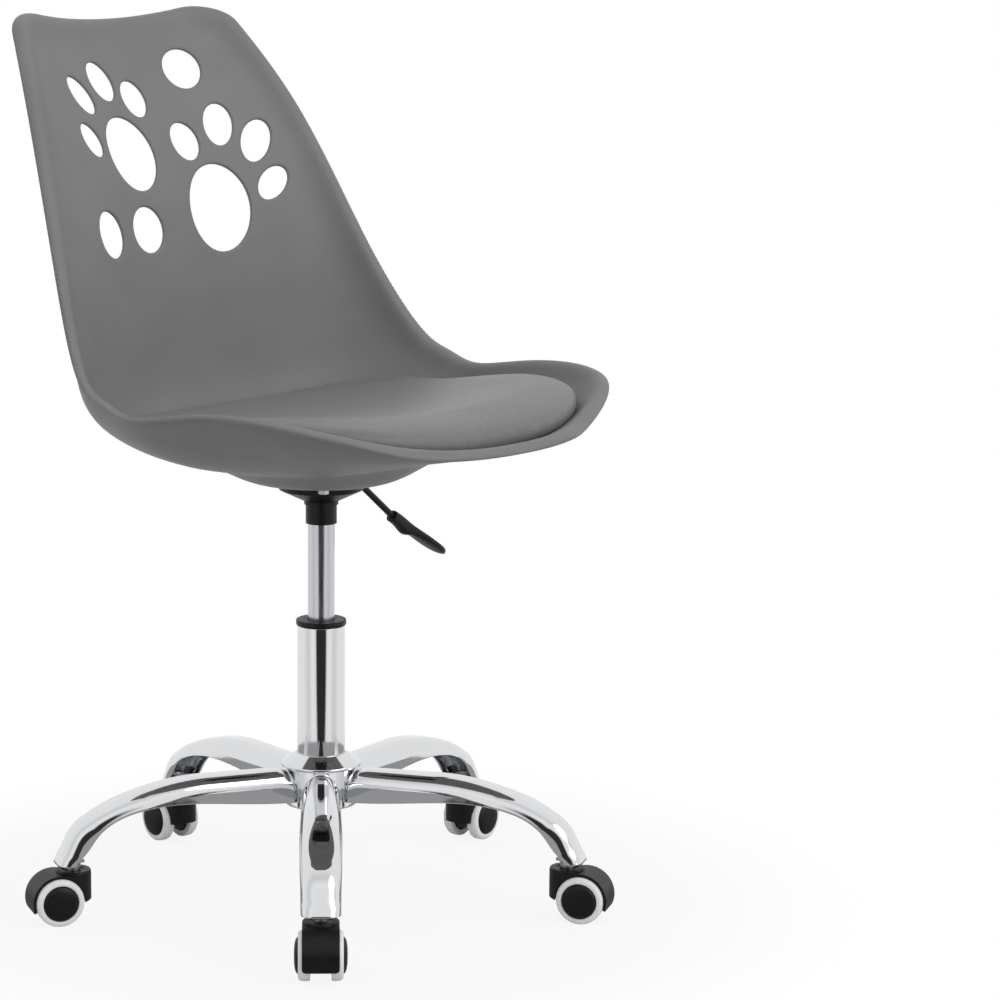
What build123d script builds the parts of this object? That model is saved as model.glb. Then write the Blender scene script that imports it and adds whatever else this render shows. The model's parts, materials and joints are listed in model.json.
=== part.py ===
from build123d import *
import os
import numpy as np

# Swivel chair on a five-arm caster base, millimetres, +Z up, the sitter faces -Y.
# The origin is on the floor under the column, and the gas lift stands at full height.
os.makedirs("parts", exist_ok=True)

# Driving dimensions of the base and the casters
arm_count = 5
base_heading = 223.0
hub_bottom_z = 102.0
hub_height = 44.0
hub_radius = 36.5
collar_radius = 42.0
collar_height = 12.0
collar_drop = 1.5
collar_lip = 1.5
arm_width = 41.0
arm_crest_z = 143.5
arm_side_height = 34.0
arm_wall = 2.0
arm_top_radius = 15.0
arm_root = 8.0
arm_flat_end = 125.0
arm_bend_radius = 262.0
arm_bend_angle = 30.0
arm_nose_radius = 45.0
arm_nose_angle = 35.0
arm_end_z = 62.0
stem_setback = 18.6
stem_radius = 5.5
stem_length = 36.0
stem_depth = 14.0
stem_flange_radius = 8.0
stem_flange_height = 5.7
socket_wall = 2.0
socket_length = 16.0
socket_drop = 1.0
socket_plate_thickness = 3.0
socket_plate_rise = 4.0
socket_plate_reach = 9.0
caster_top_z = 55.0
caster_trail = 18.0
wheel_radius = 25.0
wheel_gap = 21.0
tyre_width = 11.9
tyre_shoulder = 3.2
tyre_chamfer = 1.0
hub_disc_radius = 18.4
hub_cap_dome = 4.0
axle_radius = 4.0
axle_side_inset = 3.5
hood_width = 37.0
hood_wall = 2.4
hood_front_z = 11.0
hood_rear_z = 27.0
hood_step = 3.0
wheel_clearance = 1.0
web_clearance = 0.7

# Driving dimensions of the gas column
column_radius = 25.0
column_wall = 2.0
column_top_z = 294.0
column_floor = 4.0
column_inset = 2.0
guide_flange_radius = 26.2
guide_flange_height = 6.0
guide_length = 80.0
cylinder_radius = 14.0
cylinder_wall = 1.7
cylinder_head = 8.0
cylinder_top_z = 421.0
cylinder_length = 193.0
seal_height = 12.0
lift_stroke = 95.0
rod_radius = 5.0
rod_tail = 5.0
piston_height = 12.0
piston_spigot_radius = 4.0
race_radius = 15.0
race_thickness = 2.0
ball_radius = 2.0
ball_circle = 10.0
ball_count = 10
rod_shoulder_radius = 8.0
rod_shoulder_height = 3.0
bump_radius = 12.5
clip_radius = 9.0
clip_thickness = 1.6
valve_radius = 3.0
valve_length = 22.0
valve_stand = 8.7
valve_lever_gap = 0.6

# Driving dimensions of the seat mechanism and its lever
socket_radius = 16.2
socket_bottom_z = 402.0
dish_neck_radius = 17.8
dish_neck_height = 3.5
dish_neck_rise = 1.0
dish_belly_radius = 44.0
dish_belly_z = 438.0
dish_top_radius = 50.0
dish_wall = 3.2
plate_margin = 10.4
plate_thickness = 3.0
dish_room = 1.3
bolt_recess = 2.4
bolt_spacing = 90.0
bolt_radius = 3.0
bolt_head_radius = 5.6
bolt_head_height = 4.0
washer_radius = 8.0
washer_thickness = 1.4
nut_radius = 5.8
nut_height = 5.0
bolt_tail = 2.0
lever_radius = 3.5
lever_tongue = 6.0
lever_slot_room = 6.0
pivot_radius = 2.0
pivot_proud = 1.0
lug_thickness = 2.5
lug_length = 9.0
lug_drop = 4.5
lever_pivot_x = 31.0
lever_bend_x = 61.0
lever_bend_radius = 12.0
lever_slope = 39.0
lever_rod_end_x = 124.0
paddle_start_x = 112.0
paddle_length = 93.0
paddle_width = 26.0
paddle_thickness = 10.0
paddle_socket_radius = 6.5
paddle_socket_share = 0.25
paddle_blade_share = 0.86
paddle_slope = 32.0

# Driving dimensions of the seat shell, its boss, the cut-outs and the cushion
shell_wall = 4.5
boss_floor_z = 447.0
boss_floor_wall = 5.0
boss_floor_radius = 50.0
boss_shoulder_radius = 84.0
boss_shoulder_z = 454.0
boss_foot_radius = 118.0
boss_foot_z = 471.5
boss_depth = 25.0
top_corner_radius = 46.0
top_corner_stations = 0.3
board_thickness = 3.0
cushion_center_y = -36.0
cushion_half_length = 207.0
cushion_half_width = 237.0
cushion_squareness = 2.8
cushion_edge = 12.0
cushion_crown = 24.0
board_share = 0.9
skin_tolerance = 0.1

# Clearances
weld_gap = 0.05
running_gap = 0.05
seat_gap = 0.3
fit_gap = 0.03

# Lower edge of an arm, from the hub to the level cut: (share of its reach, depth below the crest).
arm_edge_stations = [
    (0.0994, 34.5), (0.2093, 33.0), (0.3489, 29.5), (0.5059, 25.5), (0.635, 26.0),
    (0.7397, 31.5), (0.8094, 40.0), (0.8583, 51.5), (0.8967, 66.5), (0.949, arm_crest_z - arm_end_z),
]

# Side view of the shell from the front edge to the top edge: the middle line (y, z)
# and the rim (y, z, half width), one pair for each station.
middle_stations = [
    (-271, 504), (-185, 490), (-87, 470), (20, 465), (123, 474.5),
    (181, 512), (197.5, 612), (227.5, 750), (325, 904),
]
rim_stations = [
    (-249, 509, 130), (-186, 543, 239), (-82, 548.5, 262), (7, 536, 266), (51, 546, 265),
    (93.5, 571.5, 259), (153.5, 669.5, 231.5), (224, 809.5, 197), (303, 924, 153.5),
]
# How sharply the side wall turns up from the middle, at a few stations.
bowl_stations = (0, 3, 6, 8)
bowl_powers = (2.3, 3.6, 2.5, 2.1)

# Oval cut-outs of the back: x, z, long half axis, short half axis, turn of the long axis.
paw_ovals = [
    (77, 849, 25, 23, 37),
    (-45, 843, 23.7, 16.3, 94),
    (-85, 829, 23, 14, 112),
    (-7, 824.5, 22, 16, 86),
    (-96, 785, 19.5, 12.3, 111),
    (-42, 771, 41.6, 32.6, 94),
    (94, 791, 25, 18.4, 64.5),
    (41, 778.5, 21.8, 18.5, 93),
    (135, 770, 25.9, 17.2, 50),
    (142.5, 727, 22.8, 14.5, 33),
    (64.5, 709, 47.2, 42.4, 82),
    (-46, 693.5, 24.3, 21.9, 101),
    (-104, 692, 24.8, 17.3, 101),
]


def save(shape, name):
    export_step(shape, f"parts/{name}.step")


def cylinder(radius, bottom, top):
    return Pos(0, 0, bottom) * Cylinder(
        radius, top - bottom, align=(Align.CENTER, Align.CENTER, Align.MIN)
    )


def tube(outer, inner, bottom, top):
    return cylinder(outer, bottom, top) - cylinder(inner, bottom, top)


def turned(points):
    # A solid of revolution about Z from (radius, z) corners.
    outline = make_face(Polyline(*[(r, 0, z) for r, z in points], close=True))
    return revolve(outline, Axis.Z)


def natural_curve(knots, places):
    # Natural cubic curve through evenly spaced knots, read at the given stations.
    values = np.asarray(knots, float)
    count = len(values)
    matrix = np.eye(count)
    right = np.zeros(count)
    for i in range(1, count - 1):
        matrix[i, i - 1 : i + 2] = (1, 4, 1)
        right[i] = 6 * (values[i - 1] - 2 * values[i] + values[i + 1])
    bend = np.linalg.solve(matrix, right)
    low = np.clip(np.floor(places).astype(int), 0, count - 2)
    b = places - low
    a = 1 - b
    cubic = ((a**3 - a) * bend[low] + (b**3 - b) * bend[low + 1]) / 6
    return a * values[low] + b * values[low + 1] + cubic


def shell_point(station, across):
    # Outer surface: the middle line lifts to the rim as the power of the share across.
    middle_y, middle_z = (natural_curve(k, station) for k in zip(*middle_stations))
    rim_y, rim_z, half = (natural_curve(k, station) for k in zip(*rim_stations))
    lift = np.abs(across) ** np.interp(station, bowl_stations, bowl_powers)
    return np.stack(
        [
            half * across,
            middle_y + (rim_y - middle_y) * lift,
            middle_z + (rim_z - middle_z) * lift,
        ],
        -1,
    )


def shell_normal(station, across):
    # Unit normal on the sitter's side of the shell.
    step = 1e-3
    last = len(middle_stations) - 1
    ahead = np.clip(station + step, 0, last)
    behind = np.clip(station - step, 0, last)
    right = np.clip(across + step, -1, 1)
    left = np.clip(across - step, -1, 1)
    along = shell_point(ahead, across) - shell_point(behind, across)
    over = shell_point(station, right) - shell_point(station, left)
    normal = np.cross(over, along)
    return normal / np.linalg.norm(normal, axis=-1, keepdims=True)


def skin(stations, shares, depth):
    # Smooth face at a depth above the outer surface, over a patch of the shell.
    station, across = np.meshgrid(stations, shares, indexing="ij")
    base = shell_point(station, across)
    points = base + shell_normal(station, across) * np.asarray(depth(base))[..., None]
    rows = [[Vector(*map(float, p)) for p in row] for row in points]
    return Face.make_surface_from_array_of_points(rows, tol=skin_tolerance, min_deg=3, max_deg=3)


def level(height):
    return lambda base: np.full(base.shape[:-1], height)


def slab(stations, shares, low, high):
    # Closed solid between two depths above the outer surface.
    under = skin(stations, shares, low)
    over = skin(stations, shares, high)
    sides = []
    for edge in under.edges():
        mate = min(over.edges(), key=lambda e: (e.center() - edge.center()).length)
        sides.append(Face.make_surface_from_curves(edge, mate))
    return Solid(Shell([under, over, *sides]))


def middle_place(z):
    # Middle of the back at a height: its y and its lean from the upright, in degrees.
    places = np.linspace(5, len(middle_stations) - 1, 400)
    ys, zs = (natural_curve(k, places) for k in zip(*middle_stations))
    y = float(np.interp(z, zs, ys))
    slope = float(np.interp(z, zs, np.gradient(ys, places) / np.gradient(zs, places)))
    return y, float(np.degrees(np.arctan(slope)))


def flat_way(point):
    return Vector(point.X, point.Y, 0).normalized()


def corner_cutter(station, next_station, facing, radius):
    # Prism that rounds the right corner of an edge of the shell: its two edges less a circle.
    corner, along, down = (
        Vector(*map(float, shell_point(np.array(s), np.array(a))))
        for s, a in ((station, 1), (station, 0.85), (next_station, 1))
    )
    plane = Plane(origin=corner, x_dir=(1, 0, 0), z_dir=facing)
    first = flat_way(plane.to_local_coords(along))
    second = flat_way(plane.to_local_coords(down))
    half = np.radians(first.get_angle(second) / 2)
    reach = float(radius / np.tan(half))
    middle = (first + second).normalized() * float(radius / np.sin(half))
    outward = (first + second).normalized() * -radius
    outline = [middle, first * reach, first * reach + outward, second * reach + outward, second * reach]
    wedge = make_face(Polyline(*outline, close=True)) - Pos(middle) * Circle(radius)
    return plane * extrude(wedge, radius, both=True)


def superoval(scale):
    # Outline of the cushion in plan: a squarish oval.
    turn = np.linspace(0, 2 * np.pi, 33)[:-1]
    power = 2 / cushion_squareness
    xs = cushion_half_width * scale * np.sign(np.cos(turn)) * np.abs(np.cos(turn)) ** power
    ys = cushion_half_length * scale * np.sign(np.sin(turn)) * np.abs(np.sin(turn)) ** power
    points = [(float(x), float(y) + cushion_center_y) for x, y in zip(xs, ys)]
    return make_face(Spline(*points, periodic=True))


def cushion_top(base):
    # Height of the crowned cushion above the shell, falling to its edge.
    x = np.abs(base[..., 0]) / cushion_half_width
    y = np.abs(base[..., 1] - cushion_center_y) / cushion_half_length
    reach = np.clip(x**cushion_squareness + y**cushion_squareness, 0, 1)
    return cushion_bottom + cushion_edge + cushion_crown * (1 - reach)


# Places that follow from the driving dimensions
bend_turn = np.radians(arm_bend_angle)
nose_turn = np.radians(arm_bend_angle + arm_nose_angle)
nose_z = arm_crest_z - arm_bend_radius * (1 - np.cos(bend_turn))
nose_z -= arm_nose_radius * (np.cos(bend_turn) - np.cos(nose_turn))
arm_reach = arm_flat_end + arm_bend_radius * np.sin(bend_turn)
arm_reach += arm_nose_radius * (np.sin(nose_turn) - np.sin(bend_turn))
arm_reach = float(arm_reach + (nose_z - arm_end_z) / np.tan(nose_turn))
stem_circle = arm_reach - stem_setback
hub_top_z = hub_bottom_z + hub_height
tube_inner = column_radius - column_wall
tube_bottom_z = hub_bottom_z + column_inset
tube_floor_z = tube_bottom_z + column_floor
guide_top_z = column_top_z + guide_flange_height
cylinder_bottom_z = cylinder_top_z - cylinder_length
cylinder_inner = cylinder_radius - cylinder_wall
seal_top_z = cylinder_bottom_z + seal_height
lower_race_top_z = tube_floor_z + race_thickness
ball_z = lower_race_top_z + ball_radius + fit_gap
upper_race_z = ball_z + ball_radius + fit_gap
shoulder_z = upper_race_z + race_thickness
bump_z = shoulder_z + rod_shoulder_height
bump_top_z = cylinder_bottom_z - lift_stroke - seat_gap
piston_z = seal_top_z + seat_gap
dish_neck_z = cylinder_top_z + dish_neck_rise
valve_top_z = cylinder_top_z + valve_stand
lever_z = valve_top_z + valve_lever_gap + lever_radius
board_bottom = shell_wall + seat_gap
cushion_bottom = board_bottom + board_thickness + seat_gap
wheel_inner = wheel_gap / 2
stem_seat_z = caster_top_z - stem_depth
plate_radius = float(bolt_spacing * np.sqrt(0.5)) + plate_margin
plate_bottom_z = boss_floor_z + boss_floor_wall
plate_top_z = plate_bottom_z + plate_thickness
bolt_seat_z = boss_floor_z + bolt_recess
pocket_radius = plate_radius + seat_gap
bolt_places = [(sx * bolt_spacing / 2, sy * bolt_spacing / 2) for sx in (-1, 1) for sy in (-1, 1)]


def make_arm():
    # Pressed steel channel, open below: an upside-down U carried along the crest line.
    start = hub_radius - arm_root
    flat = Line((start, 0, arm_crest_z), (arm_flat_end, 0, arm_crest_z))
    plane = Plane(origin=(0, 0, 0), x_dir=(1, 0, 0), z_dir=(0, -1, 0))
    bend = plane * JernArc((arm_flat_end, arm_crest_z), (1, 0), arm_bend_radius, -arm_bend_angle)
    nose = plane * JernArc(
        plane.to_local_coords(bend @ 1),
        plane.to_local_coords(bend @ 1 + bend % 1) - plane.to_local_coords(bend @ 1),
        arm_nose_radius,
        -arm_nose_angle,
    )
    tail = Line(nose @ 1, nose @ 1 + (nose % 1) * arm_side_height * 2)
    path = Wire([flat, bend, nose, tail])
    section = Plane(origin=(start, 0, arm_crest_z), x_dir=(0, 1, 0), z_dir=(1, 0, 0))
    outer = RectangleRounded(arm_width, arm_side_height * 2, arm_top_radius)
    half = Pos(0, arm_side_height / 2 - arm_side_height) * Rectangle(arm_width, arm_side_height)
    profile = (Pos(0, -arm_side_height) * outer) & half
    inner = RectangleRounded(
        arm_width - 2 * arm_wall, arm_side_height * 2, arm_top_radius - arm_wall
    )
    profile -= Pos(0, -arm_side_height - arm_wall) * inner
    channel = sweep(section * profile, path)
    places = [(share * arm_reach, arm_crest_z - depth) for share, depth in arm_edge_stations]
    first, last = places[0], places[-1]
    edge = Spline(*[(s, 0, z) for s, z in places])
    reach = stem_circle + arm_width * 2
    corners = [last, (reach, last[1]), (reach, 0), (first[0], 0), first]
    below = make_face([edge, Polyline(*[(s, 0, z) for s, z in corners])])
    cutter = extrude(below, arm_width, both=True)
    return channel - cutter - cylinder(hub_radius + weld_gap, 0, arm_crest_z * 2)


def make_socket():
    # Steel tube for a caster stem, on a plate welded between the side walls of the arm's tip.
    bottom = arm_end_z - socket_drop
    bore = stem_radius + running_gap
    inside = arm_width / 2 - arm_wall - weld_gap
    nose_side = [
        (stem_circle - bore - socket_wall, inside),
        (stem_circle, inside),
        (stem_circle + socket_plate_reach / 2, inside - 0.1 * arm_top_radius),
        (stem_circle + socket_plate_reach, inside - 0.35 * arm_top_radius),
    ]
    outline = nose_side + [(s, -y) for s, y in reversed(nose_side)]
    plate = extrude(make_face(Polyline(*outline, close=True)), socket_plate_thickness)
    body = Pos(0, 0, arm_end_z + socket_plate_rise) * plate
    body += Pos(stem_circle, 0, 0) * cylinder(bore + socket_wall, bottom, bottom + socket_length)
    return body - Pos(stem_circle, 0, 0) * cylinder(bore, 0, arm_crest_z)


def make_hood():
    # Twin-wheel caster body: round fender over both wheels, web between them, stem housing.
    axis = Pos(caster_trail, 0, wheel_radius) * Rot(X=90)
    fender_radius = wheel_radius + wheel_clearance + hood_wall
    fender = axis * Cylinder(fender_radius, hood_width)
    housing = cylinder(hood_width / 2, wheel_radius, caster_top_z)
    bridge_height = caster_top_z - hood_step - wheel_radius
    bridge = Box(
        caster_trail, hood_width, bridge_height, align=(Align.CENTER, Align.CENTER, Align.MIN)
    )
    body = fender + housing + Pos(caster_trail / 2, 0, wheel_radius) * bridge
    wheel_room = Cylinder(wheel_radius + wheel_clearance, hood_width)
    room_place = wheel_inner - web_clearance + hood_width / 2
    for place in (room_place, -room_place):
        body -= axis * Pos(0, 0, place) * wheel_room
    far = caster_trail + 2 * fender_radius
    near = -hood_width
    corners = [(far, hood_front_z), (near, hood_rear_z), (near, -far), (far, -far)]
    below = make_face(Polyline(*[(s, 0, z) for s, z in corners], close=True))
    body -= extrude(below, hood_width, both=True)
    body -= axis * Cylinder(axle_radius + fit_gap, hood_width * 2)
    return body - cylinder(stem_radius + fit_gap, stem_seat_z, caster_top_z + stem_depth)


def make_pins():
    # Steel stem with its flange, and the axle of the two wheels.
    stem = cylinder(stem_radius, stem_seat_z, stem_seat_z + stem_length)
    stem += cylinder(stem_flange_radius, caster_top_z, caster_top_z + stem_flange_height)
    half = wheel_inner + tyre_width - axle_side_inset
    axle = Pos(caster_trail, 0, wheel_radius) * Rot(X=90) * Cylinder(axle_radius, 2 * half)
    return Compound(children=[stem, axle])


def make_wheel(side):
    # One wheel of a pair: a pale tyre ring and a black hub disc with a domed cap.
    outer = wheel_inner + tyre_width
    shoulder = wheel_radius - tyre_shoulder
    tyre = turned(
        [
            (hub_disc_radius + fit_gap, wheel_inner),
            (wheel_radius - tyre_chamfer, wheel_inner),
            (wheel_radius, wheel_inner + tyre_chamfer),
            (wheel_radius, outer - tyre_shoulder),
            (wheel_radius - 0.3 * tyre_shoulder, outer - 0.45 * tyre_shoulder),
            (shoulder, outer),
            (hub_disc_radius + fit_gap, outer),
        ]
    )
    dome = outer + hub_cap_dome
    hub = turned(
        [
            (axle_radius + running_gap, wheel_inner),
            (hub_disc_radius, wheel_inner),
            (hub_disc_radius, outer),
            (hub_disc_radius * 0.86, outer + hub_cap_dome * 0.62),
            (hub_disc_radius * 0.5, dome),
            (0, dome),
            (0, outer - axle_side_inset + seat_gap),
            (axle_radius + running_gap, outer - axle_side_inset + seat_gap),
        ]
    )
    turn = Pos(caster_trail, 0, wheel_radius) * Rot(X=-90 * side)
    return turn * tyre, turn * hub


hub = tube(hub_radius, column_radius + weld_gap, hub_bottom_z, hub_top_z)
save(hub, "base_hub")
collar = turned(
    [
        (column_radius + weld_gap, hub_top_z),
        (column_radius + weld_gap, hub_top_z + collar_height),
        (column_radius + collar_lip, hub_top_z + collar_height),
        (collar_radius - collar_lip, hub_top_z + 2 * collar_lip),
        (collar_radius, hub_top_z + collar_lip),
        (collar_radius, hub_top_z - collar_drop),
        (hub_radius + weld_gap, hub_top_z - collar_drop),
        (hub_radius + weld_gap, hub_top_z),
    ]
)
save(collar, "hub_collar")

arm = make_arm()
socket = make_socket()
hood = make_hood()
pins = make_pins()
wheels = {"a": make_wheel(1), "b": make_wheel(-1)}
sockets = []
for number in range(1, arm_count + 1):
    turn = Rot(Z=base_heading + (number - 1) * 360 / arm_count)
    stand = turn * Pos(stem_circle, 0, 0)
    save(turn * arm, f"base_arm_{number}")
    sockets.append(turn * socket)
    save(stand * hood, f"caster_{number}_hood")
    save(stand * pins, f"caster_{number}_pins")
    for side, (tyre, disc) in wheels.items():
        save(stand * tyre, f"caster_{number}_tyre_{side}")
        save(stand * disc, f"caster_{number}_hub_{side}")
save(Compound(children=sockets), "stem_sockets")

column = tube(column_radius, tube_inner, tube_bottom_z, column_top_z)
column += tube(tube_inner, rod_radius + running_gap, tube_bottom_z, tube_floor_z)
save(column, "column_tube")
guide = tube(
    tube_inner - fit_gap, cylinder_radius + running_gap, column_top_z - guide_length, column_top_z
)
guide += tube(guide_flange_radius, cylinder_radius + running_gap, column_top_z, guide_top_z)
save(guide, "column_guide")
save(tube(race_radius, rod_radius + running_gap, tube_floor_z, lower_race_top_z), "bearing_race_lower")
balls = [
    Rot(Z=i * 360 / ball_count) * Pos(ball_circle, 0, ball_z) * Sphere(ball_radius)
    for i in range(ball_count)
]
save(Compound(children=balls), "bearing_balls")
save(tube(race_radius, rod_radius + fit_gap, upper_race_z, shoulder_z), "bearing_race_upper")
rod = cylinder(rod_radius, tube_bottom_z - rod_tail, piston_z)
rod += cylinder(rod_shoulder_radius, shoulder_z, bump_z)
rod += cylinder(piston_spigot_radius, piston_z, piston_z + piston_height)
save(rod, "piston_rod")
save(
    tube(cylinder_inner - running_gap, piston_spigot_radius + fit_gap, piston_z, piston_z + piston_height),
    "piston",
)
save(tube(bump_radius, rod_radius + fit_gap, bump_z, bump_top_z), "bump_stop")
clip_top_z = tube_bottom_z - seat_gap
save(tube(clip_radius, rod_radius + fit_gap, clip_top_z - clip_thickness, clip_top_z), "rod_clip")

gas_cylinder = tube(cylinder_radius, cylinder_inner, cylinder_bottom_z, cylinder_top_z)
gas_cylinder += tube(
    cylinder_inner, valve_radius + running_gap, cylinder_top_z - cylinder_head, cylinder_top_z
)
save(gas_cylinder, "gas_cylinder")
save(
    tube(cylinder_inner - fit_gap, rod_radius + running_gap, cylinder_bottom_z, seal_top_z),
    "cylinder_seal",
)
save(cylinder(valve_radius, valve_top_z - valve_length, valve_top_z), "valve_pin")

# Pressed dish under a round plate: its neck takes the head of the gas cylinder, two lugs the lever.
dish = turned(
    [
        (cylinder_radius + fit_gap, socket_bottom_z),
        (socket_radius, socket_bottom_z),
        (socket_radius, dish_neck_z),
        (dish_neck_radius, dish_neck_z),
        (dish_neck_radius, dish_neck_z + dish_neck_height),
        (dish_belly_radius, dish_belly_z),
        (dish_top_radius, plate_bottom_z),
        (plate_radius, plate_bottom_z),
        (plate_radius, plate_top_z),
        (0, plate_top_z),
        (0, plate_bottom_z),
        (dish_top_radius - dish_wall * 1.5, plate_bottom_z),
        (dish_belly_radius - dish_wall * 0.9, dish_belly_z + dish_wall * 0.9),
        (cylinder_radius - dish_wall, cylinder_top_z + dish_wall),
        (valve_radius * 2, cylinder_top_z + dish_wall),
        (valve_radius * 2, cylinder_top_z),
        (cylinder_radius + fit_gap, cylinder_top_z),
    ]
)
slot_height = 2 * lever_radius + lever_slot_room
dish -= Pos(lever_pivot_x, 0, lever_z) * Box(dish_top_radius, 2 * (lever_radius + seat_gap), slot_height)
lug_height = plate_top_z - lever_z + lug_drop
lug = Box(lug_length, lug_thickness, lug_height, align=(Align.CENTER, Align.CENTER, Align.MAX))
pivot_place = Pos(lever_pivot_x, 0, lever_z) * Rot(X=90)
lug_place = lever_radius + seat_gap + lug_thickness / 2
for y in (-lug_place, lug_place):
    dish += Pos(lever_pivot_x, y, plate_top_z) * lug
dish -= pivot_place * Cylinder(pivot_radius + fit_gap, 4 * lug_place)
for x, y in bolt_places:
    dish -= Pos(x, y, 0) * cylinder(bolt_radius + seat_gap, plate_bottom_z, plate_top_z)
save(dish, "mechanism_plate")
pivot_length = 2 * (lug_place + lug_thickness / 2 + pivot_proud)
save(pivot_place * Cylinder(pivot_radius, pivot_length), "lever_pivot")

# Lever: a bent steel rod on a cross pin, its tongue over the valve, with a flat plastic paddle.
lever_path = FilletPolyline(
    (-lever_tongue, 0, lever_z),
    (lever_bend_x, 0, lever_z),
    (
        lever_rod_end_x,
        0,
        lever_z - (lever_rod_end_x - lever_bend_x) * float(np.tan(np.radians(lever_slope))),
    ),
    radius=lever_bend_radius,
)
lever_section = Plane(origin=lever_path @ 0, z_dir=(1, 0, 0)) * Circle(lever_radius)
lever_rod = sweep(lever_section, lever_path)
lever_rod -= pivot_place * Cylinder(pivot_radius + running_gap, 4 * lever_radius)
save(lever_rod, "lever_rod")
paddle_start = Vector(
    paddle_start_x,
    0,
    lever_z - (paddle_start_x - lever_bend_x) * float(np.tan(np.radians(lever_slope))),
)
socket_end = Plane(origin=paddle_start, z_dir=lever_path % 1)
paddle = socket_end * Cylinder(
    paddle_socket_radius, paddle_length * paddle_socket_share, align=(Align.CENTER, Align.CENTER, Align.MIN)
)
blade_plane = Plane(
    origin=paddle_start,
    x_dir=(float(np.cos(np.radians(paddle_slope))), 0, -float(np.sin(np.radians(paddle_slope)))),
    z_dir=(float(np.sin(np.radians(paddle_slope))), 0, float(np.cos(np.radians(paddle_slope)))),
)
blade_length = paddle_length * paddle_blade_share
blade = Pos(paddle_length - blade_length / 2, 0, 0) * SlotOverall(blade_length, paddle_width)
paddle += blade_plane * Pos(0, 0, -paddle_thickness / 2) * extrude(blade, paddle_thickness)
lever_room = Plane(origin=lever_path @ 0, z_dir=(1, 0, 0)) * Circle(lever_radius + fit_gap)
paddle -= sweep(lever_room, lever_path)
save(paddle, "lever_paddle")

# Seat shell: bent sheet, hollow boss with a floor, rounded corners and oval cut-outs.
last_station = len(middle_stations) - 1
all_stations = np.linspace(0, last_station, 33)
all_shares = np.linspace(-1, 1, 21)
shell = slab(all_stations, all_shares, level(0.0), level(shell_wall))
top_facing = shell_normal(np.array(last_station), np.array(0.9)) * (0, 1, 1)
top_corner = corner_cutter(
    last_station, last_station - top_corner_stations, tuple(map(float, top_facing)), top_corner_radius
)
shell -= top_corner
shell -= mirror(top_corner, Plane.YZ)
boss_curve = Spline(
    (boss_floor_radius, 0, boss_floor_z),
    (boss_shoulder_radius, 0, boss_shoulder_z),
    (boss_foot_radius, 0, boss_foot_z),
    tangents=((1, 0, 0), (1, 0, 0.5)),
)
boss_top_z = boss_foot_z + boss_depth
boss_corners = [
    (boss_foot_radius, 0, boss_foot_z),
    (boss_foot_radius, 0, boss_top_z),
    (0, 0, boss_top_z),
    (0, 0, boss_floor_z),
    (boss_floor_radius, 0, boss_floor_z),
]
boss = revolve(make_face([boss_curve, Polyline(*boss_corners)]), Axis.Z)
# The boss ends within the wall of the shell, so that the two grow together.
within_wall = skin(all_stations, all_shares, level(shell_wall / 2))
boss_halves = split(boss, bisect_by=within_wall, keep=Keep.BOTH).solids()
shell += min(boss_halves, key=lambda piece: piece.center().Z)
shell -= cylinder(pocket_radius, plate_bottom_z, boss_top_z)
shell -= cylinder(dish_top_radius + dish_room, 0, boss_top_z)
for x, z, long_half, short_half, turn in paw_ovals:
    y, lean = middle_place(z)
    facing = (0, -float(np.cos(np.radians(lean))), float(np.sin(np.radians(lean))))
    oval = Rot(Z=turn) * Ellipse(long_half, short_half)
    plane = Plane(origin=(x, y, z), x_dir=(1, 0, 0), z_dir=facing)
    shell -= plane * extrude(oval, top_corner_radius, both=True)
for x, y in bolt_places:
    shell -= Pos(x, y, 0) * cylinder(bolt_radius + seat_gap, 0, boss_top_z)
    shell -= Pos(x, y, 0) * cylinder(washer_radius + seat_gap, 0, bolt_seat_z)
save(shell, "seat_shell")

# Four bolts clamp the floor of the boss under the plate, with nuts welded on top of it.
head_top_z = bolt_seat_z - washer_thickness
bolt_shank = cylinder(bolt_radius, head_top_z, plate_top_z + nut_height + bolt_tail)
bolt_head = Pos(0, 0, head_top_z - bolt_head_height) * extrude(
    RegularPolygon(bolt_head_radius, 6), bolt_head_height
)
bolt = bolt_shank + bolt_head
washer = tube(washer_radius, bolt_radius + fit_gap, head_top_z, bolt_seat_z)
nut = Pos(0, 0, plate_top_z) * extrude(RegularPolygon(nut_radius, 6), nut_height)
nut -= cylinder(bolt_radius + fit_gap, plate_top_z, plate_top_z + nut_height)
for fastener, name in ((bolt, "mounting_bolts"), (washer, "mounting_washers"), (nut, "plate_nuts")):
    save(Compound(children=[Pos(x, y, 0) * fastener for x, y in bolt_places]), name)

# Formed board under the cushion, and the cushion as a plain crowned pad.
pad_height = 400
board_plan = Pos(0, 0, boss_floor_z) * extrude(superoval(board_share), pad_height)
board_patch = (np.linspace(0.1, 4.9, 21), np.linspace(-0.92, 0.92, 17))
board = slab(*board_patch, level(board_bottom), level(board_bottom + board_thickness)) & board_plan
save(board, "cushion_board")
cushion_plan = Pos(0, 0, boss_floor_z) * extrude(superoval(1.0), pad_height)
cushion_patch = (np.linspace(0.1, 5.1, 25), np.linspace(-0.98, 0.98, 25))
cushion = slab(*cushion_patch, level(cushion_bottom), cushion_top) & cushion_plan
save(cushion, "seat_cushion")
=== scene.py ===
import json
import math

import bmesh
import bpy
import numpy as np
from mathutils import Euler, Matrix, Vector, geometry


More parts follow.
